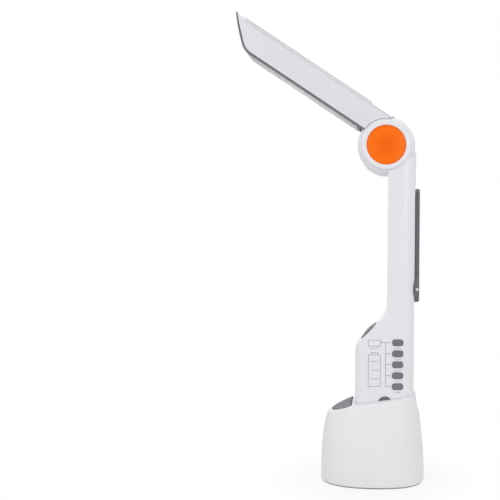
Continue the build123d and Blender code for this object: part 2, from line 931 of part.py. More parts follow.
def head_form(inset, depth):
    """The head's form above its underside line, drawn in from the sides and top."""
    side = slab_y(head_side_face(depth), -head_half_width, head_half_width)
    form = side & slab_z(head_plan_face(inset), -head_height, 2 * head_height)
    form &= crown(inset)
    return form - head_root_form(inset)


def window_face(grow):
    """The solar window's outline from above, with curved ends."""
    half = window_half_width + grow
    start = window_start - grow
    end = window_end + grow
    outline = [
        Line((-start, half), (-end, half)),
        ThreePointArc((-end, half), (-end - window_end_rise, 0), (-end, -half)),
        Line((-end, -half), (-start, -half)),
        ThreePointArc((-start, -half), (-start - window_start_rise, 0), (-start, half)),
    ]
    face = make_face(outline)
    return fillet(face.vertices(), window_corner)


def solar_levels():
    """Heights in the head of the tray's underside, its floor and the panel's face."""
    sag = head_crown_drop
    radius = (head_half_width ** 2 + sag ** 2) / (2 * sag)
    edge_drop = radius - sqrt(radius ** 2 - window_half_width ** 2)
    face = head_height - edge_drop - solar_cover_edge
    floor = face - solar_panel_thickness
    return floor - solar_tray_wall, floor, face


def make_head_shell():
    """The head's white shell, with the tray for the solar panel and the middle knuckle."""
    under, floor, _ = solar_levels()
    outer = head_form(0, bezel_thickness)
    shoulder = head_height - head_crown_drop - head_top_round
    upper = [edge for edge in outer.edges() if edge.center().Z > shoulder]
    sides = [edge for edge in upper
             if edge.center().X < -drum_radius and abs(edge.center().Y) > knuckle_half_width]
    outer = fillet(sides, head_top_round)
    cavity = head_form(head_wall, bezel_thickness - seat_gap)
    cavity -= slab_z(window_face(solar_tray_wall), under, far)
    shell = outer - cavity
    shell -= slab_z(window_face(0), floor, far)
    half = knuckle_half_width - knuckle_side_gap
    reach = drum_radius + head_root_gap + head_wall
    web = box(-reach, 0, -half, half, bezel_thickness, head_height) & crown(0)
    web += Rot(90, 0, 0) * Cylinder(drum_radius - seat_gap, 2 * half)
    shell += web
    shell -= Rot(90, 0, 0) * Cylinder(axle_radius + shaft_gap, far)
    return shell


def under_sheet(inset, low, high):
    """A sheet along the head's underside between two depths, drawn in from the sides."""
    side = slab_y(head_side_face(low) - head_side_face(high), -head_half_width, head_half_width)
    return side & slab_z(head_plan_face(inset), -head_height, 2 * head_height)


def below_tray(drop):
    """Everything in the head that lies lower than the solar panel's tray, by a drop or more."""
    return box(-far, far, -far, far, -head_height, solar_levels()[0] - run_gap - drop)


def make_head_bezel():
    """The dark frame round the light's window, flush with the shell."""
    hole = under_sheet(bezel_width, -1, bezel_thickness + 1) & below_tray(0)
    frame = under_sheet(0, 0, bezel_thickness) - hole - head_root_form(0)
    frame &= crown(0)
    end_bar = under_sheet(0, 0, bezel_thickness)
    end_bar &= box(-bezel_start - bezel_width, -bezel_start, -far, far, -head_height, head_height)
    return frame + end_bar


def make_head_lens():
    """The frosted window of the light, held by a thin flange behind the bezel."""
    start = bezel_start + bezel_width + seat_gap
    sheet = under_sheet(bezel_width + seat_gap, -lens_proud, bezel_thickness)
    sheet &= box(-far, -start, -far, far, -head_height, 2 * head_height)
    flange_top = bezel_thickness + lens_flange_thickness
    flange = under_sheet(bezel_width - lens_flange, bezel_thickness, flange_top)
    flange &= box(-far, -start + lens_flange, -far, far, -head_height, 2 * head_height)
    return (sheet & below_tray(seat_gap)) + (flange & below_tray(0))


def led_frame_levels():
    """Heights in the head of the light frame's foot and top."""
    foot = bezel_thickness + lens_flange_thickness
    return foot, foot + led_frame_height


def led_span():
    """Where the light's board starts and ends along the head."""
    return led_start - led_pitch / 2, led_start + led_pitch * (led_columns - 0.5)


def make_led_frame():
    """The white frame between the lens and the board of the light."""
    foot, top = led_frame_levels()
    start, end = led_span()
    half = led_board_half_width
    wall = led_frame_wall
    frame = box(-end, -start, -half, half, foot, top)
    return frame - box(-end + wall, -start - wall, -half + wall, half - wall, foot - 1, top + 1)


def make_led_board():
    """The long board that carries the light's rows."""
    _, top = led_frame_levels()
    start, end = led_span()
    half = led_board_half_width
    return box(-end, -start, -half, half, top, top + led_board_thickness)


def make_leds():
    """Two rows of small lights on the underside of their board."""
    _, top = led_frame_levels()
    half = led_size / 2
    lights = []
    for column in range(led_columns):
        along = -(led_start + led_pitch * column)
        for across in (-led_row_spacing / 2, led_row_spacing / 2):
            lights.append(box(along - half, along + half, across - half, across + half,
                              top - led_height, top))
    return lights


def make_solar_panel():
    """The solar panel in its tray."""
    _, floor, face = solar_levels()
    return slab_z(window_face(-seat_gap), floor, face)


def make_solar_cover():
    """The clear cover over the panel, crowned like the shell."""
    _, _, face = solar_levels()
    return slab_z(window_face(-seat_gap), face, far) & crown(0)


def make_crank_hub():
    """The crank's turning hub, slotted for the arm, with its shaft."""
    inner_x = hub_pocket_x + run_gap
    disc = rod_x(hub_radius, 0, hub_z, inner_x, hub_outer_x)
    disc = fillet(disc.faces().sort_by(Axis.X)[-1].edges(), hub_edge)
    half = hub_slot_half_width
    floor = arm_pin_x - arm_thickness / 2 - arm_slot_floor_gap
    disc -= box(floor, far, -half, half, 0, far * 2)
    shaft = rod_x(hub_shaft_radius, 0, hub_z, gear_plate_x - 1, inner_x)
    hub = disc + shaft
    return hub - rod_y(arm_pin_radius, arm_pin_x, hub_z, -far, far)


def arm_outline():
    """The arm seen from behind: slightly tapered, with a round top."""
    top_half, low_half = arm_top_width / 2, arm_bottom_width / 2
    top = hub_z + arm_reach
    shoulder = top - arm_top_rise
    outline = [
        Line((-low_half, hub_z), (low_half, hub_z)),
        Line((low_half, hub_z), (top_half, shoulder)),
        ThreePointArc((top_half, shoulder), (0, top), (-top_half, shoulder)),
        Line((-top_half, shoulder), (-low_half, hub_z)),
    ]
    face = make_face(outline)
    return fillet(face.vertices().sort_by(Axis.Y)[-2:], arm_top_corner)


def tab_pin_z():
    """Height of the finger tab's pin in the arm."""
    return hub_z + arm_reach - tab_pin_drop


def tab_pin_x():
    """Place of the finger tab's pin, so that the tab lies inside the arm."""
    return arm_pin_x - arm_thickness / 2 + tab_gap / 2 + tab_thickness / 2


def make_crank_arm():
    """The folding arm, with the pocket that the finger tab lies in."""
    half = arm_thickness / 2
    arm = slab_x(arm_outline(), arm_pin_x - half, arm_pin_x + half)
    outer_edges = arm.faces().sort_by(Axis.X)[-1].edges()
    rims = [edge for edge in outer_edges if edge.center().Z > hub_z + 1]
    arm = chamfer(rims, arm_bevel)
    arm += rod_y(half, arm_pin_x, hub_z, -arm_bottom_width / 2, arm_bottom_width / 2)
    side = tab_width / 2 + tab_gap
    low = tab_pin_z() - tab_length - tab_gap * 2
    high = tab_pin_z() + tab_thickness / 2 + tab_gap
    arm -= box(0, tab_pin_x() + tab_thickness / 2 + tab_gap, -side, side, low, high)
    reach = side + tab_pin_seat
    arm -= rod_y(tab_pin_radius, tab_pin_x(), tab_pin_z(), -reach, reach)
    return arm - rod_y(arm_pin_radius + shaft_gap, arm_pin_x, hub_z, -far, far)


def make_crank_arm_pin():
    """The pin on which the arm folds."""
    reach = hub_radius - arm_pin_end
    return rod_y(arm_pin_radius, arm_pin_x, hub_z, -reach, reach)


def make_crank_tab():
    """The finger tab, folded flat into the arm."""
    half = tab_width / 2
    x, z = tab_pin_x(), tab_pin_z()
    tab = box(x - tab_thickness / 2, x + tab_thickness / 2, -half, half, z - tab_length, z)
    low_edges = tab.edges().filter_by(Axis.Y).sort_by(Axis.Z)[:2]
    tab = fillet(low_edges, tab_round)
    tab += rod_y(tab_thickness / 2, x, z, -half, half)
    return tab - rod_y(tab_pin_radius + shaft_gap, x, z, -far, far)


def make_crank_tab_pin():
    """The small pin of the finger tab."""
    reach = tab_width / 2 + tab_gap + tab_pin_seat
    return rod_y(tab_pin_radius, tab_pin_x(), tab_pin_z(), -reach, reach)


def make_finger_recess():
    """The dark cup in the neck that gives room for a finger behind the arm."""
    cup = body_form(0) & slab_x(recess_face(0), recess_floor_x, far)
    return cup - slab_x(recess_face(-recess_liner_wall), recess_floor_x + recess_liner_floor, far)


def gear_face(teeth, phase):
    """An involute gear's outline, with one tooth at the phase angle in degrees."""
    pitch = gear_module * teeth / 2
    base = pitch * cos(radians(gear_pressure_angle))
    tip = pitch + gear_addendum * gear_module
    root = pitch - gear_dedendum * gear_module
    involute = tan(radians(gear_pressure_angle)) - radians(gear_pressure_angle)
    half_tooth = pi / 2 / teeth - gear_backlash / 2 / pitch

    def flank(radius):
        """Half the tooth's angle at a radius."""
        angle = acos(min(1, base / radius))
        return half_tooth + involute - (tan(angle) - angle)

    foot = max(base, root)
    radii = [foot + (tip - foot) * share / 3 for share in range(4)]
    if foot > root:
        radii.insert(0, root)
    points = []
    for tooth in range(teeth):
        middle = radians(phase) + 2 * pi * tooth / teeth
        sides = [(radius, -flank(radius)) for radius in radii]
        sides += [(radius, -turn) for radius, turn in reversed(sides)]
        for radius, turn in sides:
            points.append((radius * cos(middle + turn), radius * sin(middle + turn)))
    return make_face(Polyline(*points, close=True))


def make_drive_gear():
    """The large gear on the crank's shaft."""
    high = gear_wall_x - run_gap
    face = Pos(0, hub_z) * gear_face(drive_teeth, 90)
    gear = slab_x(face, high - gear_thickness, high)
    return gear - rod_x(hub_shaft_radius + seat_gap / 2, 0, hub_z, 0, far)


def make_pinion():
    """The small gear on the dynamo's shaft, in mesh with the large one."""
    high = gear_wall_x - run_gap
    phase = -90 + 180 / pinion_teeth
    face = Pos(0, rotor_z) * gear_face(pinion_teeth, phase)
    gear = slab_x(face, high - gear_thickness, high)
    return gear - rod_x(rotor_shaft_radius + seat_gap / 2, 0, rotor_z, 0, far)


def rotor_span():
    """Where the dynamo's rotor starts and ends along X."""
    low = gear_plate_x + gear_plate_thickness + stator_gap
    return low, low + rotor_length


def make_dynamo_rotor():
    """The dynamo's magnet and shaft."""
    low, high = rotor_span()
    magnet = rod_x(rotor_radius, 0, rotor_z, low, high)
    return magnet + rod_x(rotor_shaft_radius, 0, rotor_z, gear_plate_x, gear_wall_x + gear_wall / 2)


def make_dynamo_stator():
    """The dynamo's coil ring round the magnet."""
    _, high = rotor_span()
    low = gear_plate_x + gear_plate_thickness
    inner = rotor_radius + stator_gap
    ring = rod_x(inner + stator_wall, 0, rotor_z, low, high)
    return ring - rod_x(inner, 0, rotor_z, 0, far)


def make_gear_plate():
    """The plate between the side walls that carries both shafts and the dynamo."""
    half = inner_half_width - seat_gap
    plate = box(gear_plate_x, gear_plate_x + gear_plate_thickness, -half, half,
                hub_z - gear_plate_margin, rotor_z + gear_plate_margin)
    plate -= rod_x(hub_shaft_radius + shaft_gap, 0, hub_z, 0, far)
    return plate - rod_x(rotor_shaft_radius + shaft_gap, 0, rotor_z, 0, far)


body_left, body_right = make_body_halves()
hinge_cap = make_hinge_cap()
warning_lens = make_warning_lens()

parts = {
    "cradle_shell": make_cradle_shell(),
    "cradle_base_plate": make_cradle_base_plate(),
    "cradle_foot_pad": make_cradle_foot_pad(),
    "cradle_front_panel": front_panel_form(0, -front_panel_proud, front_panel_thickness),
    "cradle_ballast": make_cradle_ballast(),
    "cradle_screws": make_cradle_screws(),
    "body_shell_left": body_left,
    "body_shell_right": body_right,
    "body_screws": make_body_screws(),
    "battery_cell": make_battery(),
    "main_board": make_main_board(),
    "button_board": make_button_board(),
    "switch_board": make_switch_board(),
    "tact_switches": make_tact_switches(),
    "usb_a_socket": make_usb_a_socket(),
    "micro_usb_socket": make_micro_usb_socket(),
    "finger_recess_liner": make_finger_recess(),
    "gear_plate": make_gear_plate(),
    "dynamo_stator": make_dynamo_stator(),
    "dynamo_rotor": make_dynamo_rotor(),
    "dynamo_pinion": make_pinion(),
    "drive_gear": make_drive_gear(),
    "crank_hub": make_crank_hub(),
    "crank_arm": make_crank_arm(),
    "crank_arm_pin": make_crank_arm_pin(),
    "crank_tab": make_crank_tab(),
    "crank_tab_pin": make_crank_tab_pin(),
    "hinge_axle": make_hinge_axle(),
    "hinge_nuts": make_hinge_nuts(),
    "hinge_cap_left": hinge_cap,
    "hinge_cap_right": mirror(hinge_cap, Plane.XZ),
    "warning_lens_left": warning_lens,
    "warning_lens_right": mirror(warning_lens, Plane.XZ),
    "warning_boards": mirror_pair(make_warning_board()),
    "warning_leds": [copy for led in make_warning_leds() for copy in mirror_pair(led)],
    "main_switch_pad": make_main_switch_pad(),
    "round_button": make_round_button(),
    "head_shell": head_place(make_head_shell()),
    "head_bezel": head_place(make_head_bezel()),
    "head_lens": head_place(make_head_lens()),
    "led_frame": head_place(make_led_frame()),
    "led_board": head_place(make_led_board()),
    "leds": [head_place(led) for led in make_leds()],
    "solar_panel": head_place(make_solar_panel()),
    "solar_cover": head_place(make_solar_cover()),
}
for number, (x, z) in enumerate(button_places(), start=1):
    parts[f"side_button_{number}"] = make_button(x, z)

os.makedirs("parts", exist_ok=True)
for name, shape in parts.items():
    solid = Compound(children=shape) if isinstance(shape, list) else shape
    export_step(solid, f"parts/{name}.step")
print("head tip", round(head_tip, 2), "rotor height", round(rotor_z, 2))
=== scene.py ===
# %% [markdown]
# # A solar emergency lamp, dressed for its picture
# The lamp is a slim white body with a light head on a hinge, a folding hand crank on its
# back and a weighted cradle that it stands in. The solid model already has every part in
# its shape and place, so this script never moves or reshapes a part. It gives each one the
# surface that the real one shows, draws the printed lines and the fine joints that the
# solids leave out, and sets up the light and the camera.

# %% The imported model
import json
import math

import bpy
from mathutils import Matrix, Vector


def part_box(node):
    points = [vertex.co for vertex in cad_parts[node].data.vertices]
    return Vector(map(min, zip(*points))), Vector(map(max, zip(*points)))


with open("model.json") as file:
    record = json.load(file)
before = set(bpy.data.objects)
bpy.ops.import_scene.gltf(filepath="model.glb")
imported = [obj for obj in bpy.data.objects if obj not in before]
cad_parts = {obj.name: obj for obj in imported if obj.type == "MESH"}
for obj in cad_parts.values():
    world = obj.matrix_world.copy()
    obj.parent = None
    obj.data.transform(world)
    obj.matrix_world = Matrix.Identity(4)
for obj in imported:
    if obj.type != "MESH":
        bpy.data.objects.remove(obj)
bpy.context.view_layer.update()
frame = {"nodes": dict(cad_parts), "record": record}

mm = 1000.0  # millimetres in a metre
nodes = frame["nodes"]

# %% [markdown]
# ## Writing shader maths as sums
# A shader is a net of small nodes. Linking them by hand hides the idea behind the numbers,
# so a small class stands for one output of a node and turns ordinary sums into Math nodes.
# The reflected forms are there too, so that `1 - mask` reads as it should.

# %% A wire that can be used in sums
class Wire:
    """One output of a node."""

    def __init__(self, net, socket):
        self.net = net
        self.socket = socket

    def math(self, operation, *values):
        return self.net.add("ShaderNodeMath", *values, settings={"operation": operation})

    def __add__(self, other): return self.math("ADD", self, other)
    def __radd__(self, other): return self.math("ADD", other, self)
    def __sub__(self, other): return self.math("SUBTRACT", self, other)
    def __rsub__(self, other): return self.math("SUBTRACT", other, self)
    def __mul__(self, other): return self.math("MULTIPLY", self, other)
    def __rmul__(self, other): return self.math("MULTIPLY", other, self)
    def __truediv__(self, other): return self.math("DIVIDE", self, other)
    def __rtruediv__(self, other): return self.math("DIVIDE", other, self)
    def __pow__(self, other): return self.math("POWER", self, other)
    def __mod__(self, other): return self.math("FLOORED_MODULO", self, other)
    def __abs__(self): return self.math("ABSOLUTE", self)
    def __lt__(self, other): return self.math("LESS_THAN", self, other)
    def __gt__(self, other): return self.math("GREATER_THAN", self, other)
    def least(self, other): return self.math("MINIMUM", self, other)
    def most(self, other): return self.math("MAXIMUM", self, other)

    def fade(self, low, high, first=0.0, last=1.0):
        """A smooth change from first to last while the value goes from low to high."""
        ends = {"interpolation_type": "SMOOTHSTEP"}
        return self.net.add("ShaderNodeMapRange", self, low, high, first, last, settings=ends)


def distance(one, other):
    """How far a point is from the middle, from two numbers at right angles."""
    squares = one * one + other * other
    return squares.math("SQRT", squares)


# %% [markdown]
# ## One way to add a node
# A material and the world are both nets of nodes that end in one shader, so one class serves
# both. Its `add` method makes any node: it takes the node's type and settings first, then
# the values or links of its sockets, in order or by name. `eye` tells the rays that end in
# the picture from those that only carry light.

# %% A net of nodes
class Net:
    """The nodes that feed one shader."""

    def __init__(self, tree, shader):
        self.tree = tree
        self.shader = tree.nodes[shader]

    def feed(self, socket, value):
        """Links a wire to a socket, or writes a plain value on it."""
        if isinstance(value, Wire):
            self.tree.links.new(value.socket, socket)
        elif socket.type == "RGBA" and len(value) == 3:
            socket.default_value = (*value, 1.0)
        else:
            socket.default_value = value

    def set(self, node=None, **sockets):
        """Feeds sockets by name, on the shader when no node is given."""
        inputs = (node or self.shader).inputs
        for name, value in sockets.items():
            self.feed(inputs[name.replace("_", " ")], value)

    def add(self, kind, *values, settings=None, output=None, **sockets):
        """A new node: its type and settings, then the values or links of its sockets."""
        node = self.tree.nodes.new(kind)
        for name, value in (settings or {}).items():
            setattr(node, name, value)
        open_inputs = [socket for socket in node.inputs if socket.enabled]
        for socket, value in zip(open_inputs, values):
            self.feed(socket, value)
        self.set(node, **sockets)
        outputs = [socket for socket in node.outputs if socket.enabled]
        return Wire(self, node.outputs[output] if output else outputs[0])

    def eye(self):
        """1 for what the camera sees straight, in a shiny surface or through glass."""
        rays = self.add("ShaderNodeLightPath").socket.node.outputs
        seen = Wire(self, rays["Is Camera Ray"])
        for kind in ("Is Glossy Ray", "Is Transmission Ray"):
            seen = seen.most(Wire(self, rays[kind]))
        return seen


# %% [markdown]
# ## One way to make a finish
# Every surface here is a Principled shader with something feeding its colour, roughness and
# bump. The patterns are laid out in real millimetres, so a 2 mm ripple stays 2 mm on a large
# part and on a small one. Every finish is kept by its name until the parts are dressed.

# %% A finish
finishes = {}


class Finish(Net):
    """One material, built node by node."""

    def __init__(self, name, **sockets):
        material = bpy.data.materials.new(name)
        material.use_nodes = True
        super().__init__(material.node_tree, "Principled BSDF")
        self.name = name
        finishes[name] = material
        self.set(**sockets)

    def place(self):
        """The point on the part, in millimetres of the lamp's own frame."""
        point = self.add("ShaderNodeTexCoord", output="Object")
        return self.add("ShaderNodeVectorMath", point, settings={"operation": "SCALE"}, Scale=mm)

    def split(self, vector):
        """The three numbers of a vector."""
        parts = self.add("ShaderNodeSeparateXYZ", vector).socket.node.outputs
        return [Wire(self, socket) for socket in parts]

    def noise(self, vector, size, detail=2.0, roughness=0.5):
        """Soft noise from 0 to 1 whose blobs are about size millimetres across."""
        return self.add("ShaderNodeTexNoise", vector, output="Fac",
                        Scale=1.0 / size, Detail=detail, Roughness=roughness)

    def cells(self, vector, size):
        """Distance to the nearest of scattered points, size millimetres apart."""
        return self.add("ShaderNodeTexVoronoi", vector, output="Distance", Scale=1.0 / size)

    def blend(self, share, first, second):
        """From the first colour to the second."""
        return self.add("ShaderNodeMix", share, first, second, settings={"data_type": "RGBA"})

    def between(self, share, first, second):
        """From the first shader to the second, shown instead of the plain one."""
        mixed = self.add("ShaderNodeMixShader", share, first, second)
        self.tree.links.new(mixed.socket, self.tree.nodes["Material Output"].inputs["Surface"])

    def relief(self, height):
        """Turns a height in millimetres into bump."""
        self.set(Normal=self.add("ShaderNodeBump", Strength=1.0, Distance=1 / mm, Height=height))

    def tell(self):
        """Prints what was made."""
        print("finish", self.name, "has", len(self.tree.nodes), "nodes")


# %% [markdown]
# ## Greys by their look on a screen
# A pale plastic is easiest to match as a screen grey from 0 to 255. Blender wants linear
# light, so this turns one into the other. Most of these plastics are a little cool, which
# means slightly more blue and slightly less green.

# %% A grey from a screen value
def shade(level, cool=0.0):
    """A near-grey colour from a screen value, a little blue when cool is above zero."""
    def linear(value):
        value = max(0.0, min(255.0, value)) / 255
        return value / 12.92 if value <= 0.04045 else ((value + 0.055) / 1.055) ** 2.4
    return (linear(level), linear(level - cool / 5), linear(level + cool))


print("the white of the shell is", [round(v, 3) for v in shade(228, 3.8)])

# %% [markdown]
# ## The camera
# The picture shows the lamp square from the side of its buttons, from 0.7 m away. The lamp
# stands well to the right of the middle, so the camera keeps its line of sight and shifts
# its frame. Moving the camera aside instead would show the lamp at a slant. Half a degree of
# roll follows the slight lean of the lamp in the photograph.

# %% Camera
camera = bpy.data.objects.new("camera", bpy.data.cameras.new("camera"))
camera.data.lens = 59.6
camera.data.sensor_width = 36.0
camera.data.shift_x = -0.272
camera.data.shift_y = -0.03
camera.location = (0.0096, -0.700, 0.205)
camera.rotation_euler = (math.radians(90), math.radians(-0.5), 0)
camera.data.clip_start, camera.data.clip_end = 0.01, 50
bpy.context.scene.collection.objects.link(camera)
bpy.context.scene.camera = camera
bpy.context.scene.view_settings.view_transform = "Standard"
print("camera", [round(v, 3) for v in camera.location], "lens", camera.data.lens)

# %% [markdown]
# ## The floor
# A product picture like this has a white ground with only a trace of shadow. The floor mixes
# a plain pale paint with white that only the picture gets, so the shadow stays, but no extra
# light reaches the lamp. Close to the cradle the paint has its largest share. The sheet lies
# a hair under the foot, because two faces in one plane flicker.

# %% White ground
def white_ground(half=6.0, drop=0.0001):
    """A large sheet under the lamp, in metres."""
    sheet = bpy.data.meshes.new("ground")
    corners = [(-half, -half), (half, -half), (half, half), (-half, half)]
    sheet.from_pydata([(x, y, -drop) for x, y in corners], [], [(0, 1, 2, 3)])
    ground = bpy.data.objects.new("ground", sheet)
    bpy.context.scene.collection.objects.link(ground)
    return ground


shadow_near, shadow_far, white_near = 0.04, 0.10, 0.86
ground_paint = Finish("ground_paint", Roughness=0.9, Base_Color=(0.66, 0.66, 0.67))
white = ground_paint.add("ShaderNodeEmission", Color=(1.0, 1.0, 1.0), Strength=1.0)
paint = Wire(ground_paint, ground_paint.shader.outputs[0])
across_floor = ground_paint.add("ShaderNodeTexCoord", output="Object")
radius = ground_paint.add("ShaderNodeVectorMath", across_floor, settings={"operation": "LENGTH"},
                          output="Value")
share = ground_paint.eye() * radius.fade(shadow_near, shadow_far, white_near, 1.0)
ground_paint.between(share, paint, white)
ground = white_ground()
ground.data.materials.append(finishes["ground_paint"])
print("ground", ground.name, "reaches", ground.dimensions.x / 2, "m")

# %% [markdown]
# ## The world behind
# The world does the same for the background: the picture, shiny surfaces and clear parts get
# full white from it, while the light that it sheds on the lamp stays at a plain level.

# %% World
world = bpy.data.worlds.new("studio")
bpy.context.scene.world = world
world.use_nodes = True
world_light = 0.60
air = Net(world.node_tree, "Background")
air.set(Color=(1.0, 1.0, 1.0), Strength=air.eye() * (1.0 - world_light) + world_light)
print("world light", world_light)

# %% [markdown]
# ## Lamps
# The photograph's light is even, a little stronger from the right, and it stays bright well
# round the sides. Two soft lamps stand in front, one at each side, one behind and one above.
# Wide lamps leave soft edges, and faces that turn far away go a little grey.

# %% Soft lamps
middle = (0, 0, 0.2)


def soft_lamp(name, place, power, size=1.2):
    """A square lamp that faces the middle of the part."""
    light = bpy.data.lights.new(name, "AREA")
    light.shape, light.size, light.energy = "SQUARE", size, power
    holder = bpy.data.objects.new(name, light)
    holder.location = place
    holder.rotation_euler = (Vector(middle) - Vector(place)).to_track_quat("-Z", "Y").to_euler()
    bpy.context.scene.collection.objects.link(holder)
    print(name, "power", power)


def around(angle, height=0.8, reach=2.1):
    """A place round the lamp: 0 degrees is the camera's side, and positive turns right."""
    turn = math.radians(angle)
    return (reach * math.sin(turn), -reach * math.cos(turn), height)


soft_lamp("lamp_front_left", around(-30), 7.4)
soft_lamp("lamp_front_right", around(28), 11.8)
soft_lamp("lamp_left", around(-75), 5.8)
soft_lamp("lamp_right", around(90), 2.6)
soft_lamp("lamp_behind", around(180, 0.9), 8.0)
soft_lamp("lamp_above", (0.1, 0.3, 1.9), 7.0, size=1.4)

# %% [markdown]
# ## Moulded plastic
# Most parts are moulded, and moulded plastic is never quite even: it has a faint orange-peel
# from the mould, a little haze in its shine, a trace of grey where hands hold it and specks
# of dust. Noise at five scales gives all of that, and each plastic sets how much of each it
# has. More can be drawn on a finish before it is closed.

# %% Moulded plastic
patch_size, haze_size, peel_size, dust_size, grain_size = 24.0, 7.0, 2.2, 0.9, 0.35


def moulded(name, level, cool, roughness, peel, grain, coat=0.0, soil=0.02, speck=0.3, shine=0.5):
    """Moulded plastic: colour, haze, orange-peel and fine grain, at real scale."""
    finish = Finish(name, Coat_Weight=coat, Coat_Roughness=0.12, IOR=1.49,
                    Specular_IOR_Level=shine)
    finish.point = finish.place()
    patches = finish.noise(finish.point, patch_size, 3.0)
    dust = finish.noise(finish.point, dust_size, 2.0, 0.7)
    low, high, dull = shade(level * (1 - soil), cool), shade(level, cool), shade(level * 0.9, cool)
    finish.colour = finish.blend(patches.fade(0.35, 0.62), low, high)
    finish.colour = finish.blend(dust.fade(0.66, 0.84) * speck, finish.colour, dull)
    haze = finish.noise(finish.point, haze_size, 4.0, 0.6)
    finish.rough = haze.fade(0.3, 0.7, roughness - 0.05, roughness + 0.05) + dust * 0.04
    finish.height = finish.noise(finish.point, peel_size, 1.0) * peel
    finish.height = finish.height + finish.noise(finish.point, grain_size, 2.0, 0.6) * grain
    return finish


def close(finish):
    """Links colour, roughness and height once nothing more is added to them."""
    finish.set(Base_Color=finish.colour, Roughness=finish.rough)
    finish.relief(finish.height)
    finish.tell()


# %% [markdown]
# ## White shell plastic
# The body, the head and the hinge rings are moulded in white ABS, cool and softly shiny. It
# comes clean from a polished mould, so its peel, grain and soil are slight. A thin coat over
# a duller base gives the soft gloss, which one low roughness would turn into a wet look.

# %% Shell plastic
def shell_plastic(name, level=228, cool=3.8):
    """The white plastic of the body and head."""
    return moulded(name, level, cool, 0.32, 0.004, 0.0008, coat=0.1, soil=0.008, speck=0.12)


close(shell_plastic("white_shell"))

# %% [markdown]
# ## The seam down the back
# The body is made of two halves that meet in the middle, and the real one shows a hairline
# there. The solid halves touch with no gap, so a narrow dark line and a small groove in the
# bump mark the joint on both halves.

# %% Seam between the halves
seam_core, seam_edge = 0.05, 0.22


def with_seam(finish):
    """Adds the hairline where the two halves meet."""
    x, y, z = finish.split(finish.point)
    line = abs(y).fade(seam_core, seam_edge, 1.0, 0.0)
    finish.colour = finish.blend(line * 0.75, finish.colour, shade(120, 3))
    finish.height = finish.height - line * 0.12
    return x, y, z


left_half = shell_plastic("white_shell_left")
with_seam(left_half)
close(left_half)

# %% [markdown]
# ## The printed guide beside the buttons
# Thin grey lines beside the five buttons join a socket sign and a battery sign to them. All
# of it is straight, so it can be written down as a short list of lines in the plane of the
# side, which is easier to change than a drawn picture. Short dashes below the socket sign and
# below each button complete it.

# %% Guide lines, in millimetres of X and Z
button_top, button_pitch = 116.3, 9.05
button_rows = [button_top - button_pitch * row for row in range(5)]
sign_front, sign_back = -4.0, 5.9
socket_low, socket_high = 113.2, 118.3
battery_low, battery_high, knob_high = 80.1, 106.2, 108.0
knob_front, knob_back = -1.3, 3.8
charge_front, charge_back, charge_rows = -2.0, 4.2, (86.4, 93.6, 100.7)
trunk, branch_end = 10.1, 14.2
dash_front, dash_step, dash_back, dash_drop = 17.4, 0.4, 22.6, 4.6


def outline(x_low, x_high, z_low, z_high):
    """The four sides of a box."""
    return [(x_low, z_low, x_high, z_low), (x_low, z_high, x_high, z_high),
            (x_low, z_low, x_low, z_high), (x_high, z_low, x_high, z_high)]


guide = outline(sign_front, sign_back, socket_low, socket_high)
guide += outline(sign_front, sign_back, battery_low, battery_high)
guide += outline(knob_front, knob_back, battery_high, knob_high)
guide += [(charge_front, z, charge_back, z) for z in charge_rows]
guide += [(sign_back, button_top, branch_end, button_top), (trunk, battery_low, trunk, button_top)]
guide += [(trunk, z, branch_end, z) for z in button_rows[1:]]
dashes = [(-2.2, 111.3, 4.0, 111.3)]
dashes += [(dash_front + dash_step * (row % 2), z - dash_drop, dash_back, z - dash_drop)
           for row, z in enumerate(button_rows)]
print("guide lines", len(guide), "dashes", len(dashes))

# %% [markdown]
# ## Printing the guide on the right half
# The guide is ink, with no height to speak of, so it belongs in the shell's colour. Each
# line is a thin box, and the smallest distance to any of the boxes gives one clean mask. Ink
# on plastic wears in fine spots and is duller than the shell, so noise thins it a little.

# %% Ink on the side
guide_half, dash_half, ink_blur = 0.22, 0.30, 0.04
flank_full, flank_start = -17.9, -17.7


def ink_mask(x, z, lines, half_width):
    """1 on the lines and 0 beside them."""
    nearest = None
    for x_low, z_low, x_high, z_high in lines:
        along = abs(x - (x_low + x_high) / 2) - ((x_high - x_low) / 2 + half_width)
        up = abs(z - (z_low + z_high) / 2) - ((z_high - z_low) / 2 + half_width)
        gap = along.most(up)
        nearest = gap if nearest is None else nearest.least(gap)
    return nearest.fade(-ink_blur, ink_blur, 1.0, 0.0)


right_half = shell_plastic("white_shell_right")
x, y, z = with_seam(right_half)
on_side = y.fade(flank_full, flank_start, 1.0, 0.0)
ink = ink_mask(x, z, guide, guide_half) * on_side
faint = ink_mask(x, z, dashes, dash_half) * on_side
wear = right_half.noise(right_half.point, 0.5, 2.0, 0.7).fade(0.25, 0.45, 0.75, 1.0)
right_half.colour = right_half.blend(ink * wear, right_half.colour, shade(140, 3))
right_half.colour = right_half.blend(faint * wear * 0.6, right_half.colour, shade(150, 3))
right_half.rough = right_half.rough + ink * 0.12
close(right_half)

# %% [markdown]
# ## The cradle's matt white
# The cradle is duller than the lamp: its mould was lightly sparked, which leaves a fine even
# grain. The same recipe with more grain, more roughness and no coat gives it, and scattered
# pits stand for the sparks.

# %% Cradle plastic
cradle = moulded("cradle_white", 230, 2.0, 0.50, 0.004, 0.006, soil=0.008, speck=0.12)
pits = cradle.cells(cradle.point, 0.45)
cradle.height = cradle.height + pits.fade(0.1, 0.6) * 0.004
close(cradle)

# %% [markdown]
# ## Grey rubber and dark plastic
# The side buttons are silicone rubber, the crank and its hub dark satin plastic, and the
# cradle's foot soft beige rubber. They share the recipe and differ in grain and shine.
# Silicone picks up pale dust, which settles in its grain.

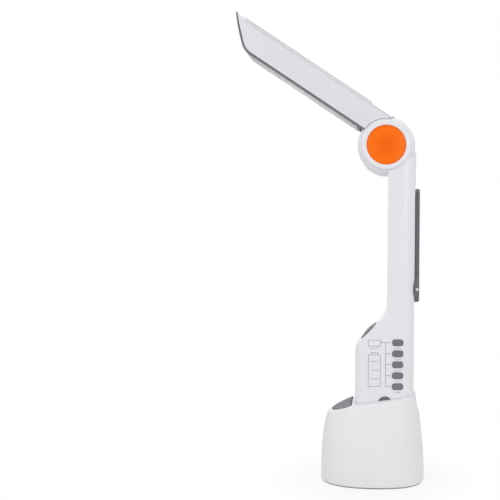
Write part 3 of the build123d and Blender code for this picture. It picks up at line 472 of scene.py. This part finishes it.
# %% Dark greys and the foot
rubber = moulded("grey_rubber", 118, 5.5, 0.60, 0.006, 0.014, soil=0.05, shine=0.3)
lint = rubber.cells(rubber.point, 0.8)
rubber.colour = rubber.blend(lint.fade(0.05, 0.12, 0.35, 0.0), rubber.colour, shade(170, 4))
close(rubber)
close(moulded("dark_plastic", 109, 5.5, 0.46, 0.008, 0.008, soil=0.04, shine=0.25))
close(moulded("foot_rubber", 152, -8.0, 0.75, 0.010, 0.030, soil=0.10))

# %% [markdown]
# ## The cradle's grey panel
# The panel lies in a recess of the cradle's slanted front. The narrow gap round it is a real
# joint, and the shade in it is painted as a dark rim on the panel's edge. The panel's outline
# is the cradle's own rounded plan, cut off straight towards the body. That plan has a
# formula, a circle with a power above 2, so the distance to it can be worked out on the surface.

# %% Panel with its rim
plan_middle, plan_front, plan_side, plan_power = 4.0, 38.6, 25.5, 2.2
cut_start, cut_full = -19.0, -18.3

panel = moulded("panel_grey", 140, 4.0, 0.65, 0.008, 0.010, soil=0.04, shine=0.05)
x, y, z = panel.split(panel.point)
forwards, sideways = abs((plan_middle - x) / plan_front), abs(y / plan_side)
reach = (forwards ** plan_power + sideways ** plan_power) ** (1 / plan_power)
# painted shade: a dark rim on the panel's edge stands for the shade in the gap round it
gap_shade_rim = reach.fade(0.955, 0.975).most(x.fade(cut_start, cut_full))
panel.colour = panel.blend(gap_shade_rim * 0.8, panel.colour, shade(74, 3))
close(panel)

# %% [markdown]
# ## The main switch on the slope
# The switch is an oval pad on the body's slope, with the same kind of gap round it, and its
# shade is painted as a dark rim on the pad's edge. Its outline is an ellipse in the plane of
# the slope, so the point is first measured up the slope and across it, each as a share of
# the pad's half size.

# %% Switch pad with its rim
slope_turn = math.radians(45.6)
pad_x, pad_z, pad_half_length, pad_half_width = -4.2, 124.2, 9.3, 12.5

pad = moulded("pad_grey", 148, 2.0, 0.65, 0.006, 0.014, soil=0.05, shine=0.15)
x, y, z = pad.split(pad.point)
up_slope = (x - pad_x) * math.cos(slope_turn) + (z - pad_z) * math.sin(slope_turn)
reach = distance(up_slope / pad_half_length, y / pad_half_width)
# painted shade: a dark rim on the pad's edge stands for the shade in the gap round it
pad.colour = pad.blend(reach.fade(0.86, 0.95) * 0.7, pad.colour, shade(86, 2))
close(pad)

# %% [markdown]
# ## The orange warning lens
# Each end of the hinge has a round orange lens with lights behind it. It is tinted plastic,
# smooth outside and pebbled inside, so its middle looks a little darker and mottled. A few
# oranges, mixed by noise and by the distance from the middle, and a pebbled bump give that
# depth without the cost of light that travels through the plastic.

# %% Warning lens
hinge_x, hinge_z = 9.3, 279.2
bright, deep, pale, edge_orange = ((0.97, 0.158, 0.002), (0.84, 0.118, 0.002),
                                   (1.0, 0.22, 0.01), (0.86, 0.12, 0.006))

lens = Finish("orange_lens", IOR=1.45, Specular_IOR_Level=0.14)
point = lens.place()
x, y, z = lens.split(point)
away = distance(x - hinge_x, z - hinge_z)
pebbles = lens.cells(point, 1.1)
mottle = lens.noise(point, 3.5, 4.0, 0.65)
middle_share = away.fade(3.0, 13.0, 1.0, 0.0) * mottle.fade(0.35, 0.65, 0.7, 1.0)
colour = lens.blend(middle_share * 0.8, bright, deep)
colour = lens.blend(pebbles.fade(0.1, 0.5, 0.2, 0.0), colour, pale)
lens.set(Base_Color=lens.blend(away.fade(15.4, 16.2), colour, edge_orange),
         Roughness=mottle.fade(0.3, 0.7, 0.18, 0.28))
lens.relief(pebbles * 0.02 + mottle * 0.03)
lens.tell()

# %% [markdown]
# ## Places along the head
# The head stands at an angle, so patterns on it need its own two directions: along the head
# from the hinge, and up from its underside. Both are plain sums of the lamp's X and Z.

# %% Along and up
head_turn = math.radians(33.2)


def along_head(finish):
    """Millimetres along the head, across it, and up from its underside."""
    x, y, z = finish.split(finish.place())
    dx, dz = x - hinge_x, z - hinge_z
    along = dz * math.sin(head_turn) - dx * math.cos(head_turn)
    up = dx * math.sin(head_turn) + dz * math.cos(head_turn)
    return along, y, up


print("the head rises at", round(math.degrees(head_turn), 1), "degrees")

# %% [markdown]
# ## The head's shell
# The head is the same white as the body, painted a shade deeper as painted shade for how the
# light falls on it. A fine joint runs round the solar window, where the clear cover meets the
# shell. The window has straight sides and bowed ends, so the joint is drawn at a fixed
# distance from that outline. A second fine line runs along each upper edge, where the top of
# the head meets its sides.

# %% Head shell with its joints
window_half, window_root, window_nose = 14.0, 28.5, 153.4
nose_bow, root_bow, joint_gap = 7.0, 2.5, 0.4
edge_up = 20.9


def past_window(along, across):
    """Millimetres outside the solar window's outline."""
    bow = 1 - (across / window_half) * (across / window_half)
    sides = abs(across) - window_half
    nose = along - (window_nose + bow * nose_bow)
    return sides.most(nose).most(window_root + bow * root_bow - along)


# painted shade: the head's white is set darker than the body's for how the light falls on it
head = shell_plastic("white_shell_head", 219.5, 4.5)
along, across, up = along_head(head)
joint = abs(past_window(along, across) - joint_gap).fade(0.3, 0.5, 1.0, 0.0) * (up > 12.0)
head.colour = head.blend(joint * 0.7, head.colour, shade(140, 3))
head.height = head.height - joint * 0.1
edge = abs(up - edge_up).fade(0.25, 0.5, 1.0, 0.0) * along.fade(153.0, 155.0, 1.0, 0.0)
head.colour = head.blend(edge * 0.6, head.colour, shade(160, -4))
head.height = head.height - edge * 0.06
close(head)

# %% [markdown]
# ## Solar cells
# The head's top has a solar panel behind clear plastic: nearly black blue cells in strips,
# with fine silver lines and two wider bars along the head. The lines repeat, so a remainder
# of the distance along or across the head places them all at once. A picture of cells could
# do it too, but sums stay sharp however close the camera comes.

# %% Cells, fingers and bars
strip_length, finger_pitch, bar_across = 14.0, 1.6, 6.0
silicon, crystal_blue = (0.006, 0.009, 0.022), (0.012, 0.018, 0.045)
finger_silver, bar_silver, strip_gap = (0.22, 0.23, 0.26), (0.48, 0.49, 0.52), (0.60, 0.62, 0.66)

solar = Finish("solar_cells", Coat_Weight=0.6, Coat_Roughness=0.08)
along, across, up = along_head(solar)
strip = abs((along - 30.0) % strip_length - strip_length / 2)
gap = strip.fade(6.6, 6.8)
finger = abs(across % finger_pitch - finger_pitch / 2).fade(0.04, 0.10, 1.0, 0.0)
bar = abs(abs(across) - bar_across).fade(0.35, 0.5, 1.0, 0.0)
crystal = solar.noise(solar.place(), 3.0, 3.0)
cell = solar.blend(crystal.fade(0.3, 0.7), silicon, crystal_blue)
cell = solar.blend(finger * 0.25, cell, finger_silver)
cell = solar.blend(bar, cell, bar_silver)
cell = solar.blend(gap, cell, strip_gap)
solar.set(Base_Color=cell, Metallic=bar * 0.8, Roughness=crystal.fade(0.2, 0.8, 0.2, 0.34))
solar.relief(bar * 0.03 + finger * 0.01)
solar.tell()

# %% [markdown]
# ## The clear cover
# The cover is clear plastic with smears and a thin film of dust. Seen square it is mostly
# glass. Light that grazes a dusty cover scatters on the film, so the share of film rises as
# the surface turns away. A mix of two shaders says exactly that.

# %% Clear cover with its film
cover = Finish("clear_cover", IOR=1.5, Transmission_Weight=1.0, Base_Color=(0.93, 0.95, 0.97))
point = cover.place()
smears = cover.noise(point, 18.0, 4.0, 0.6)
cover.set(Roughness=smears.fade(0.35, 0.75, 0.03, 0.10))
cover.relief(cover.noise(point, 6.0, 1.0) * 0.003)
motes = cover.noise(point, 0.6, 3.0, 0.7)
film = cover.add("ShaderNodeBsdfPrincipled", Roughness=0.8, Specular_IOR_Level=0.1,
                 Base_Color=cover.blend(motes.fade(0.3, 0.7), shade(192, 3), shade(204, 3)))
turned = cover.add("ShaderNodeLayerWeight", output="Facing", Blend=0.5)
share = turned.fade(0.42, 0.80, 0.22, 0.92) + smears.fade(0.4, 0.7, -0.04, 0.04)
cover.between(share, Wire(cover, cover.shader.outputs[0]), film)
cover.tell()

# %% [markdown]
# ## The frosted window
# The long window under the head is frosted, so the small yellow lights behind it show only
# as soft spots in two rows. It is made as a matt, milky surface with the spots in its
# colour: true frosted glass would need far more samples and look the same. Its outer face
# is painted a little greyer, as painted shade for the dark inside of the head behind it.

# %% Frosted window
light_across, light_pitch, first_row, last_row = 5.5, 9.0, 29.0, 129.5
lens_proud = 0.8

frosted = Finish("frosted_lens", IOR=1.46, Specular_IOR_Level=0.35)
along, across, up = along_head(frosted)
row = abs(abs(across) - light_across)
step = abs((along - 29.5) % light_pitch - light_pitch / 2)
spot = distance(row, step).fade(1.2, 4.2, 1.0, 0.0) * along.fade(first_row, first_row + 2.0)
spot = spot * along.fade(last_row - 2.0, last_row, 1.0, 0.0)
stipple = frosted.cells(frosted.place(), 0.7)
tone = frosted.blend(stipple.fade(0.1, 0.6), shade(211, 3), shade(217, 3))
# painted shade: the outer face is greyed for the dark inside of the head behind it
tone = frosted.blend((up + lens_proud).fade(0.2, 1.0, 0.5, 0.0), tone, shade(126, 3))
frosted.set(Base_Color=frosted.blend(spot * 0.28, tone, (0.80, 0.74, 0.50)),
            Roughness=frosted.noise(frosted.place(), 4.0, 3.0).fade(0.3, 0.7, 0.30, 0.42))
frosted.relief(stipple.fade(0.0, 0.6) * 0.0005)
frosted.tell()

# %% [markdown]
# ## The small lights
# Each light is a chip under a drop of yellow phosphor, paler where the drop is thin. They sit
# behind the frosted window, so two yellows mixed by scattered cells are detail enough.

# %% Phosphor
light = Finish("led_yellow", Roughness=0.35, Coat_Weight=0.4, Coat_Roughness=0.1)
glow = light.cells(light.place(), 1.5)
light.set(Base_Color=light.blend(glow.fade(0.2, 0.5), (0.92, 0.74, 0.16), (0.95, 0.88, 0.55)))
light.relief(glow * 0.02)
light.tell()

# %% [markdown]
# ## Steel
# Screws, axle and pins are plain steel. Steel that is handled gets dull spots, which differ
# from the clean metal in colour and even more in shine, so one noise drives both.

# %% Steel
clean_steel, dull_steel = (0.62, 0.62, 0.63), (0.48, 0.47, 0.46)
metal = Finish("steel", Metallic=1.0)
point = metal.place()
spots = metal.noise(point, 1.6, 4.0, 0.7)
metal.set(Base_Color=metal.blend(spots.fade(0.4, 0.7), clean_steel, dull_steel),
          Roughness=spots.fade(0.3, 0.7, 0.24, 0.42))
metal.relief(metal.noise(point, 0.25, 2.0) * 0.004)
metal.tell()

# %% [markdown]
# ## The ports
# The ports are thin plated sheet round a plastic tongue, and one solid carries both, so the
# place in the port chooses between metal and plastic. The larger port has a pale tongue with
# four contacts, and the smaller one a black tongue. Little light gets into so narrow a hole,
# so both darken from the mouth inwards, and the smaller one does so at once.

# %% Places in the ports, in millimetres
large_y, large_z, small_y, small_z = 1.25, 68.6, -2.25, 84.8
between_ports = (76.0, 78.0)
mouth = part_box("usb_a_socket")[1].x * mm
port = Finish("port_metal")
point = port.place()
x, y, z = port.split(point)
in_large = (abs(z - large_z) < 5.8) * (abs(y - large_y) < 1.0)
in_small = (abs(z - small_z) < 2.75) * (abs(y - small_y) < 0.4)
inside = in_large.most(in_small)
four = abs(abs(abs(z - large_z) - 2.25) - 1.25) < 0.5
contacts = four * (abs(y - large_y) < 1.0) * (x > 28.0)
print("the ports open at X", round(mouth, 1))

# %% Port metal and tongues
is_large = z.fade(*between_ports, 1.0, 0.0)
lit = x.fade(mouth - 3.0, mouth - 0.2).least(is_large.most(x.fade(mouth - 0.5, mouth)))
scratch = port.noise(point, 0.8, 4.0, 0.8)
plated = port.blend(scratch.fade(0.4, 0.7), (0.68, 0.66, 0.62), (0.52, 0.50, 0.46))
tongue = port.blend(z.fade(*between_ports), (0.72, 0.64, 0.54), (0.030, 0.030, 0.032))
tongue = port.blend(contacts, tongue, (0.80, 0.64, 0.40))
bare = port.blend(inside, plated, tongue)
port.set(Base_Color=port.blend(lit.fade(0.0, 1.0, 0.12, 1.0), (0.030, 0.024, 0.018), bare),
         Metallic=(1 - inside).most(contacts) * lit,
         Roughness=inside * 0.25 + scratch.fade(0.3, 0.7, 0.22, 0.38))
port.relief(scratch * 0.004)
port.tell()

# %% [markdown]
# ## Circuit boards and the cell
# The parts inside are hidden at rest, but they can be seen when the lamp is opened or cut,
# so they get finishes of their own. The boards are green with a fine weave, the light's
# board and frame are white, and the cell has a blue shrunk wrap whose soft wrinkles are
# painted light and shade in two blues. They all start from the moulded recipe, as lacquer
# and film share its faint unevenness.

# %% Boards and cell
board = moulded("circuit_board", 90, 0.0, 0.35, 0.004, 0.004)
weave = abs(board.split(board.point)[2] % 0.6 - 0.3).fade(0.1, 0.2)
board.colour = board.blend(weave, (0.020, 0.130, 0.050), (0.028, 0.175, 0.070))
board.height = board.height + weave * 0.01
close(board)
close(moulded("board_white", 232, 0.0, 0.4, 0.004, 0.006))

wrap = moulded("cell_wrap", 90, 0.0, 0.3, 0.01, 0.002, coat=0.3)
# painted light and shade: the wrinkles show only as lighter and darker blue
wrinkle_shade = wrap.noise(wrap.point, 5.0, 3.0)
wrap.colour = wrap.blend(wrinkle_shade.fade(0.3, 0.7), (0.05, 0.16, 0.42), (0.07, 0.22, 0.52))
close(wrap)

# %% [markdown]
# ## Gears and dynamo
# The gears are milky plastic, the dynamo's rotor a dull magnet, and its stator is wound with
# varnished copper wire. The turns of wire repeat along the dynamo's axis, so a remainder
# draws them all, with painted shade between the turns and bright copper on top.

# %% Gears, magnet and copper
close(moulded("gear_plastic", 220, -8.0, 0.42, 0.006, 0.008))
iron = moulded("magnet", 118, 0.0, 0.5, 0.004, 0.02)
iron.set(Metallic=0.9)
close(iron)

wire_size = 0.4
coil = Finish("copper", Metallic=1.0, Roughness=0.3, Coat_Weight=0.5)
x, y, z = coil.split(coil.place())
# painted shade: the copper is darker in the grooves between the turns
turns = abs(x % wire_size - wire_size / 2).fade(0.02, 0.18)
coil.set(Base_Color=coil.blend(turns, (0.32, 0.12, 0.05), (0.78, 0.36, 0.18)))
coil.relief(turns * 0.08)
coil.tell()

# %% [markdown]
# ## Giving every part its finish
# The record names a slot for every part, and the finish of that name is the right one for
# most. The two body halves take the versions with the seam and the printed guide, and the
# head's shell takes the one with its joints.

# %% Dress the parts
slots = {part["node"]: part["material_slot"] for part in frame["record"]["subparts"]}
slots.update(body_shell_left="white_shell_left", body_shell_right="white_shell_right",
             head_shell="white_shell_head")
for name, node in nodes.items():
    for place in node.material_slots:
        place.material = finishes[slots[name]]
print("dressed", len(nodes), "parts in", len(set(slots.values())), "finishes")
